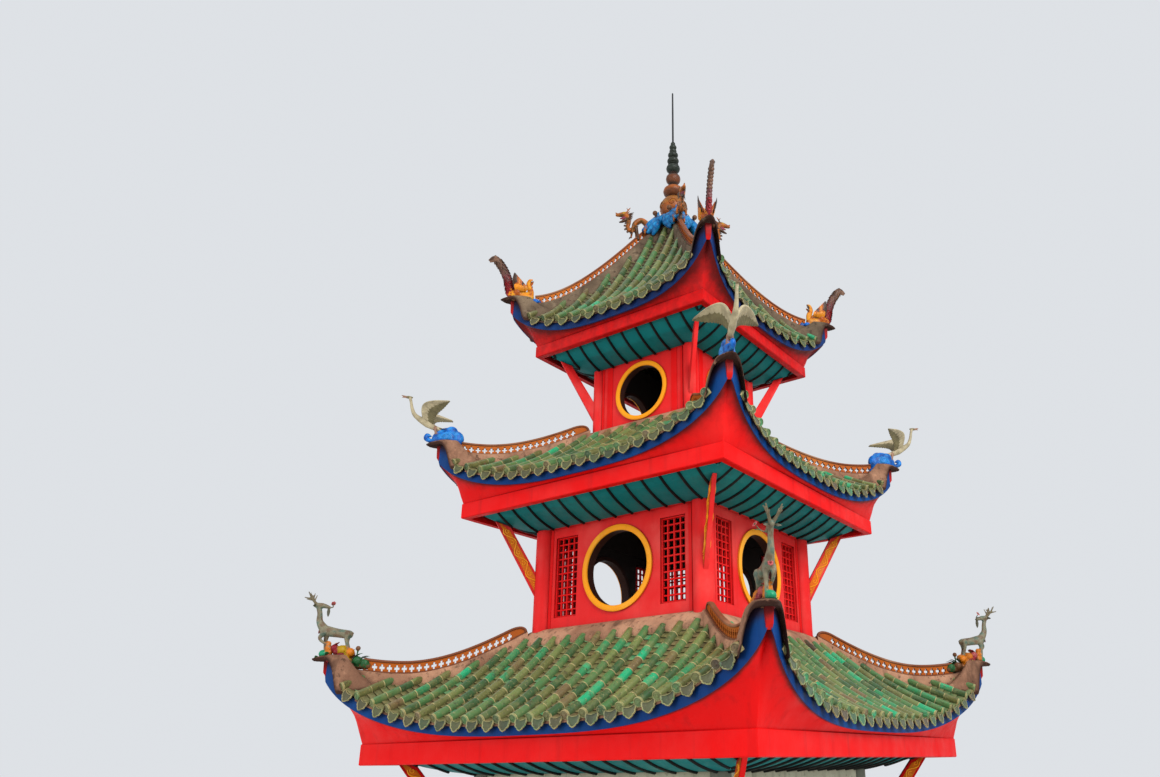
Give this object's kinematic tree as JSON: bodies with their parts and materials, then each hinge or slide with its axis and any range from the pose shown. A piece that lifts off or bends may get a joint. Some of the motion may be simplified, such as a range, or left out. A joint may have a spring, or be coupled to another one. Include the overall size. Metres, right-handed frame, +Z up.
{
  "type": "three-storey pagoda pavilion",
  "caption": "Square red pagoda pavilion with upturned green tiled roofs, round windows, corner ridge figures and a finial, on a stone plinth.",
  "frame": {"origin": "on the ground under the tower's axis, at the middle of the plinth's underside", "axes": "+Z up; the front with the doorway faces -Y; +X to the right of someone facing the front"},
  "size_m": [7.8052, 7.8052, 15.664],
  "materials": {
    "stone": "rough dressed stone",
    "grey_paint": "grey lime paint on concrete, matt",
    "plaster": "pale lime plaster, matt and stained",
    "board_paint": "orange-brown painted board, satin",
    "cement": "bare weathered cement",
    "red_paint": "vermilion masonry paint, satin",
    "yellow_paint": "yellow-orange masonry paint, satin",
    "teal_paint": "teal masonry paint, matt",
    "blue_paint": "deep blue paint, satin",
    "tile_glaze": "green glaze, worn and weathered",
    "deer_glaze": "grey-green glaze, worn",
    "crane_glaze": "grey-white glaze with blue base, worn",
    "gold_glaze": "gold-brown glaze",
    "finial_glaze": "dark glaze"
  },
  "bodies": {
    "root": {"plinth": "stone", "ground_frame": "grey_paint", "front_wall": "plaster", "right_wall": "plaster", "rear_wall": "plaster", "left_wall": "plaster", "name_board": "board_paint", "storey_2_floor": "cement", "storey_2_frame": "red_paint", "storey_2_front_wall": "red_paint", "storey_2_front_window_ring": "yellow_paint", "storey_2_right_wall": "red_paint", "storey_2_right_window_ring": "yellow_paint", "storey_2_rear_wall": "red_paint", "storey_2_rear_window_ring": "yellow_paint", "storey_2_left_wall": "red_paint", "storey_2_left_window_ring": "yellow_paint", "storey_3_floor": "cement", "storey_3_frame": "red_paint", "storey_3_front_wall": "red_paint", "storey_3_front_window_ring": "yellow_paint", "storey_3_right_wall": "red_paint", "storey_3_right_window_ring": "yellow_paint", "storey_3_rear_wall": "red_paint", "storey_3_rear_window_ring": "yellow_paint", "storey_3_left_wall": "red_paint", "storey_3_left_window_ring": "yellow_paint", "roof_1_soffit": "teal_paint", "roof_1_fascia": "red_paint", "roof_1_eave_board": "blue_paint", "roof_1_tiles": "tile_glaze", "roof_1_ridges": "cement", "roof_2_soffit": "teal_paint", "roof_2_fascia": "red_paint", "roof_2_eave_board": "blue_paint", "roof_2_tiles": "tile_glaze", "roof_2_ridges": "cement", "roof_3_soffit": "teal_paint", "roof_3_fascia": "red_paint", "roof_3_eave_board": "blue_paint", "roof_3_tiles": "tile_glaze", "roof_3_ridges": "cement", "deer_front_right": "deer_glaze", "deer_rear_right": "deer_glaze", "deer_rear_left": "deer_glaze", "deer_front_left": "deer_glaze", "crane_front_right": "crane_glaze", "crane_rear_right": "crane_glaze", "crane_rear_left": "crane_glaze", "crane_front_left": "crane_glaze", "phoenix_front_right": "gold_glaze", "phoenix_rear_right": "gold_glaze", "phoenix_rear_left": "gold_glaze", "phoenix_front_left": "gold_glaze", "apex_dragons": "gold_glaze", "finial": "finial_glaze"}
  },
  "joints": []
}
